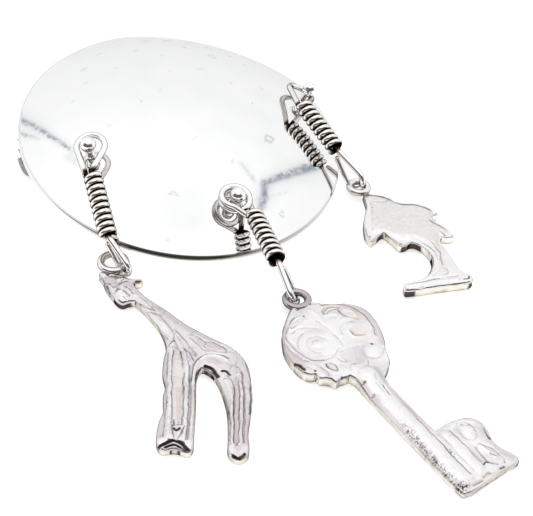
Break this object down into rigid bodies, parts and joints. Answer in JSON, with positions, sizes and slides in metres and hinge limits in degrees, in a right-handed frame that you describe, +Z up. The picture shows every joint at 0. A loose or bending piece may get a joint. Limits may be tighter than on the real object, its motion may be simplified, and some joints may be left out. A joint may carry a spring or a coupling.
{
  "type": "charm brooch",
  "caption": "Domed round brooch with ball posts, wrapped wire links and flat cast charms: a giraffe, an ornate key and a tree.",
  "frame": {"origin": "on the surface that the brooch lies on, under the middle of its bounding box", "axes": "+Z up from the surface, +Y away from the viewer of the picture, +X to their right"},
  "size_m": [0.0667, 0.0772, 0.0106],
  "materials": {
    "polished_silver": "mirror-polished silver with fine dings and scratches",
    "pin_silver": "drawn and polished silver wire",
    "wire_silver": "polished silver wire, darker between the turns",
    "cast_silver": "cast silver, softly polished on its high lines"
  },
  "bodies": {
    "root": {"disc": "polished_silver", "pin_stem": "pin_silver", "link_left": "wire_silver", "link_middle": "wire_silver", "link_right": "wire_silver", "giraffe": "cast_silver", "key": "cast_silver", "tree": "cast_silver"}
  },
  "joints": []
}
